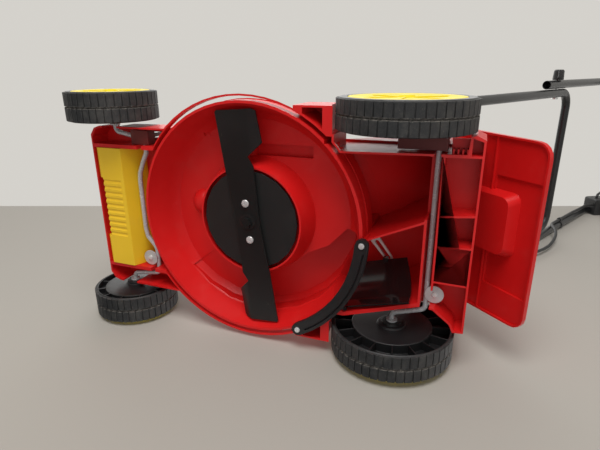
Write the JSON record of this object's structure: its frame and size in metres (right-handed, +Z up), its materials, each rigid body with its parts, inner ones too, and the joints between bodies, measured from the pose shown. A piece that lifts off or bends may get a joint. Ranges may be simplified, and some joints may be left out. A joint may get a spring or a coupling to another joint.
{
  "type": "electric lawn mower",
  "caption": "Walk-behind electric lawn mower with folding tube handle, sprung rear flap, mulching lever, wheel height levers and a blade turning inside a round deck.",
  "frame": {"origin": "on the ground, under the middle of the length and width of the whole mower as it stands", "axes": "+X to the mower's left, +Y to its rear, where the operator walks, +Z up; the ground is z = 0"},
  "size_m": [0.477, 1.1583, 1.2106],
  "materials": {
    "deck_red": "satin moulded plastic with light dust",
    "lever_red": "dull moulded plastic",
    "grip_ochre": "satin moulded plastic",
    "cap_yellow": "satin moulded plastic",
    "button_yellow": "satin moulded plastic",
    "tube_black": "satin black powder coat",
    "blade_black": "satin black paint, bare at the ground edges",
    "charcoal": "fine grained moulded plastic",
    "gloss_black": "glossy moulded plastic",
    "arm_grey": "plain moulded plastic",
    "wheel_black": "hard black plastic with a dusty tread",
    "zinc_rod": "dull galvanised",
    "washer_grey": "pale grey coat",
    "fitting_grey": "pale grey moulded plastic",
    "winding": "varnished copper winding on its core",
    "rotor_steel": "bare laminated steel",
    "motor_steel": "bare steel",
    "screw_bright": "bright plated",
    "cable_black": "matt rubber sheath"
  },
  "bodies": {
    "deck_body": {"chute_bar": "charcoal", "chute_bar_screw_left": "screw_bright", "chute_bar_screw_right": "screw_bright", "deck": "deck_red", "front_axle_washer": "washer_grey", "front_grip": "grip_ochre", "front_washer_screw": "screw_bright", "lower_bearing": "motor_steel", "lower_bolt_left": "screw_bright", "lower_bolt_right": "screw_bright", "motor_cowl": "charcoal", "motor_housing": "motor_steel", "motor_stator": "winding", "rear_axle_washer": "washer_grey", "rear_flap_pin": "zinc_rod", "rear_flap_spring": "motor_steel", "rear_washer_screw": "screw_bright", "upper_bearing": "motor_steel"},
    "cutting_set": {"blade": "blade_black", "blade_bolt": "blade_black", "blade_screw_a": "screw_bright", "blade_screw_b": "screw_bright", "fan_disc": "charcoal", "motor_shaft": "motor_steel", "motor_rotor": "rotor_steel"},
    "front_axle_set": {"front_axle": "zinc_rod", "front_height_lever": "lever_red", "front_lever_spring": "motor_steel"},
    "rear_axle_set": {"rear_axle": "zinc_rod", "rear_height_lever": "lever_red", "rear_lever_spring": "motor_steel"},
    "front_left_wheel_set": {"front_left_wheel": "wheel_black", "front_left_cap": "cap_yellow"},
    "front_right_wheel_set": {"front_right_wheel": "wheel_black", "front_right_cap": "cap_yellow"},
    "rear_left_wheel_set": {"rear_left_wheel": "wheel_black", "rear_left_cap": "cap_yellow"},
    "rear_right_wheel_set": {"rear_right_wheel": "wheel_black", "rear_right_cap": "cap_yellow"},
    "mulch_flap_set": {"mulch_flap": "gloss_black"},
    "mulch_lever_set": {"mulch_crank": "arm_grey", "mulch_lever": "charcoal"},
    "rear_flap_set": {"rear_flap": "deck_red"},
    "lower_handle_set": {"lower_handle": "tube_black", "fold_bolt_left": "screw_bright", "fold_bolt_right": "screw_bright", "cable_clip_lower": "charcoal", "cable_loop": "cable_black", "cable_tail": "cable_black"},
    "upper_handle_set": {"upper_handle": "tube_black", "switch_box": "charcoal", "plug_inlet": "fitting_grey", "cord_hook": "fitting_grey", "cable_clip_upper": "charcoal", "cable_upper": "cable_black"},
    "wing_knob_left_set": {"wing_knob_left": "charcoal"},
    "wing_knob_right_set": {"wing_knob_right": "charcoal"},
    "bail_set": {"bail": "charcoal"},
    "start_button_set": {"start_button": "button_yellow"}
  },
  "joints": [
    {"name": "blade_spin", "type": "hinge", "parent": "deck_body", "child": "cutting_set", "pos_m": [0, -0.23915, 0], "axis": [0, 0, 1], "continuous": true},
    {"name": "front_height", "type": "hinge", "parent": "deck_body", "child": "front_axle_set", "pos_m": [0, -0.43915, 0.075], "axis": [1, 0, 0], "range_deg": [-15, 20]},
    {"name": "rear_height", "type": "hinge", "parent": "deck_body", "child": "rear_axle_set", "pos_m": [0, 0.05685, 0.1], "axis": [1, 0, 0], "range_deg": [-18.5, 25]},
    {"name": "front_left_roll", "type": "hinge", "parent": "front_axle_set", "child": "front_left_wheel_set", "pos_m": [0.2095, -0.50215, 0.077], "axis": [1, 0, 0], "continuous": true},
    {"name": "front_right_roll", "type": "hinge", "parent": "front_axle_set", "child": "front_right_wheel_set", "pos_m": [-0.2095, -0.50215, 0.077], "axis": [1, 0, 0], "continuous": true},
    {"name": "rear_left_roll", "type": "hinge", "parent": "rear_axle_set", "child": "rear_left_wheel_set", "pos_m": [0.2055, 0.00535, 0.1], "axis": [1, 0, 0], "continuous": true},
    {"name": "rear_right_roll", "type": "hinge", "parent": "rear_axle_set", "child": "rear_right_wheel_set", "pos_m": [-0.2055, 0.00535, 0.1], "axis": [1, 0, 0], "continuous": true},
    {"name": "mulch_lever_turn", "type": "hinge", "parent": "deck_body", "child": "mulch_lever_set", "pos_m": [-0.021, -0.04915, 0.196], "axis": [0, 0, 1], "range_deg": [0, 76]},
    {"name": "mulch_flap_turn", "type": "hinge", "parent": "deck_body", "child": "mulch_flap_set", "pos_m": [-0.1242, -0.06475, 0.0565], "axis": [0, 0, 1], "range_deg": [-48.18, 0]},
    {"name": "rear_flap_lift", "type": "hinge", "parent": "deck_body", "child": "rear_flap_set", "pos_m": [0, 0.05685, 0.262], "axis": [1, 0, 0], "range_deg": [0, 80], "stiffness_Nm_per_rad": 0.05},
    {"name": "lower_fold", "type": "hinge", "parent": "deck_body", "child": "lower_handle_set", "pos_m": [0, 0.02885, 0.25], "axis": [1, 0, 0], "range_deg": [0, 105], "deforming": ["cable_tail"]},
    {"name": "upper_fold", "type": "hinge", "parent": "lower_handle_set", "child": "upper_handle_set", "pos_m": [0, 0.27288, 0.73731], "axis": [1, 0, 0], "range_deg": [-150, 0], "deforming": ["cable_loop"]},
    {"name": "wing_knob_left_turn", "type": "hinge", "parent": "lower_handle_set", "child": "wing_knob_left_set", "pos_m": [0.204, 0.27288, 0.73731], "axis": [1, 0, 0], "continuous": true},
    {"name": "wing_knob_right_turn", "type": "hinge", "parent": "lower_handle_set", "child": "wing_knob_right_set", "pos_m": [-0.204, 0.27288, 0.73731], "axis": [1, 0, 0], "continuous": true},
    {"name": "bail_squeeze", "type": "hinge", "parent": "upper_handle_set", "child": "bail_set", "pos_m": [0, 0.49402, 1.12717], "axis": [1, 0, 0], "range_deg": [-21, 0], "stiffness_Nm_per_rad": 0.5, "springref_deg": 28.65},
    {"name": "start_button_press", "type": "slide", "parent": "upper_handle_set", "child": "start_button_set", "axis": [0, 0.4695, -0.8829], "range_m": [0, 0.004], "stiffness_N_per_m": 400, "springref_m": -0.001}
  ],
  "couplings": [
    {"joint": "mulch_flap_turn", "follows": "mulch_lever_turn", "ratio": -0.634}
  ]
}
